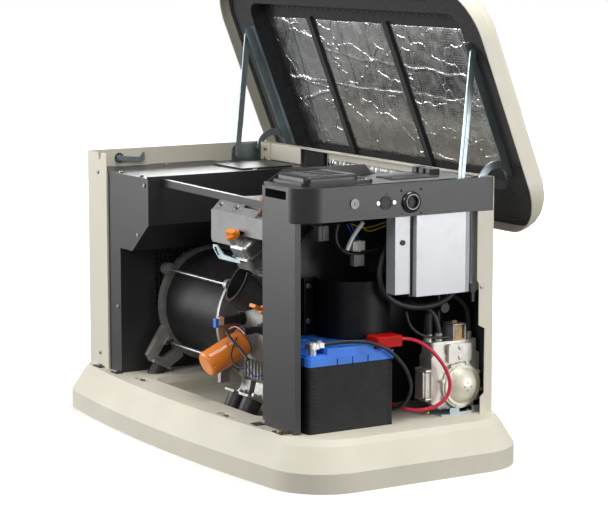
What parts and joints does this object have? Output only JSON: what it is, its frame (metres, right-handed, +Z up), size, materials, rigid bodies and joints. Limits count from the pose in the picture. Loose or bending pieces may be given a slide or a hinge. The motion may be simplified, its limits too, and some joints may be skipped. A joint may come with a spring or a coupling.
{
  "type": "home standby generator",
  "caption": "Standby generator in a bowed-base enclosure, lid raised on folding stays and service panels off, showing engine, alternator, battery bay and fuel regulator.",
  "frame": {"origin": "centre of the underside of the base", "axes": "+X towards the battery and control end, -Y towards the service side, +Z up"},
  "size_m": [1.156, 0.7048, 1.033],
  "materials": {
    "base_composite": "fine textured composite",
    "cream_paint": "fine textured powder coat",
    "dark_paint": "textured powder coat",
    "black_plastic": "moulded",
    "screen_glass": "glossy",
    "blue_plastic": "moulded",
    "red_rubber": "smooth",
    "red_cable": "smooth",
    "black_rubber": "smooth",
    "orange_plastic": "moulded",
    "orange_paint": "gloss",
    "stop_red": "moulded",
    "black_paint": "satin",
    "cast_alloy": "as cast",
    "regulator_dome": "satin",
    "grey_bracket": "satin",
    "silver_sheet": "satin",
    "steel": "laminated",
    "zinc": "zinc plated",
    "nickel": "polished",
    "brass": "plain",
    "coil_tan": "wound coil",
    "foil": "foil faced insulation",
    "fan_plastic": "moulded"
  },
  "bodies": {
    "enclosure": {"air_canister": "dark_paint", "back_insulation": "foil", "back_wall": "cream_paint", "base_tray": "base_composite", "battery_case": "black_plastic", "battery_cover": "blue_plastic", "battery_lead_black": "black_rubber", "battery_lead_red": "red_cable", "battery_posts": "nickel", "bay_divider": "dark_paint", "control_band": "dark_paint", "control_deck": "dark_paint", "controller_housing": "black_plastic", "controller_screen": "screen_glass", "crankcase": "cast_alloy", "cylinder_shroud": "black_plastic", "cylinders": "cast_alloy", "duct_top_plate": "dark_paint", "end_bell": "cast_alloy", "engine_adapter": "cast_alloy", "front_top_rail": "dark_paint", "fuel_hose_long": "black_rubber", "fuel_hose_short": "black_rubber", "hinge_plates": "zinc", "intake_duct": "dark_paint", "left_wall": "cream_paint", "lock_bodies": "nickel", "module_cover": "silver_sheet", "muffler": "black_paint", "oil_sensors": "black_plastic", "regulator_body": "cast_alloy", "regulator_diaphragm": "regulator_dome", "right_rear_post": "cream_paint", "rubber_mounts": "black_rubber", "screws_brass": "brass", "screws_zinc": "zinc", "shroud_bracket": "grey_bracket", "solenoid_coil": "coil_tan", "stator_can": "black_paint", "stator_core": "steel", "status_window": "black_plastic", "stop_bezel": "black_plastic", "terminal_boot": "red_rubber", "valve_covers": "cast_alloy", "wiring_loop": "black_rubber", "zinc_brackets": "zinc"},
    "crank_train": {"crank_rotor": "steel", "flywheel_fan": "fan_plastic"},
    "filter": {"oil_filter": "orange_paint"},
    "filler_cap": {"oil_cap": "orange_plastic"},
    "stick": {"dipstick": "orange_plastic"},
    "cam": {"latch_cam": "zinc"},
    "plug": {"lock_plug": "nickel"},
    "button": {"stop_button": "stop_red"},
    "lid": {"lid_shell": "cream_paint", "lid_liner": "black_plastic", "foil_panels": "foil", "lid_bars": "zinc"},
    "arms": {"hinge_arms": "zinc"},
    "struts": {"stay_struts": "zinc"}
  },
  "joints": [
    {"name": "crank_spin", "type": "hinge", "parent": "enclosure", "child": "crank_train", "pos_m": [0, -0.015, 0.262], "axis": [1, 0, 0], "continuous": true},
    {"name": "filter_turn", "type": "hinge", "parent": "enclosure", "child": "filter", "pos_m": [0.055, -0.128, 0.229], "axis": [0, -0.9117, -0.4108], "range_deg": [0, 330]},
    {"name": "cap_turn", "type": "hinge", "parent": "enclosure", "child": "filler_cap", "pos_m": [0.102, -0.17928, 0.47584], "axis": [0, -0.5299, 0.848], "range_deg": [0, 120]},
    {"name": "dipstick_pull", "type": "slide", "parent": "enclosure", "child": "stick", "axis": [0, -0.9, 0.4359], "range_m": [0, 0.06]},
    {"name": "latch_turn", "type": "hinge", "parent": "enclosure", "child": "cam", "pos_m": [-0.48, -0.161, 0.598], "axis": [1, 0, 0], "range_deg": [-90, 0]},
    {"name": "key_turn", "type": "hinge", "parent": "enclosure", "child": "plug", "pos_m": [0.485, -0.112, 0.583], "axis": [1, 0, 0], "range_deg": [0, 90]},
    {"name": "stop_press", "type": "slide", "parent": "enclosure", "child": "button", "axis": [-1, 0, 0], "range_m": [0, 0.0022], "stiffness_N_per_m": 400},
    {"name": "arm_swing", "type": "hinge", "parent": "enclosure", "child": "arms", "pos_m": [0, 0.2225, 0.606], "axis": [1, 0, 0], "range_deg": [0, 161.8]},
    {"name": "lid_swing", "type": "hinge", "parent": "arms", "child": "lid", "pos_m": [0, 0.296, 0.624], "axis": [1, 0, 0], "range_deg": [-93.4, 0]},
    {"name": "stay_swing", "type": "hinge", "parent": "enclosure", "child": "struts", "pos_m": [0, 0.162, 0.59], "axis": [1, 0, 0], "range_deg": [0, 91.6]}
  ],
  "couplings": [
    {"joint": "arm_swing", "follows": "lid_swing", "ratio": -1.7312},
    {"joint": "stay_swing", "follows": "lid_swing", "ratio": -0.9803}
  ]
}
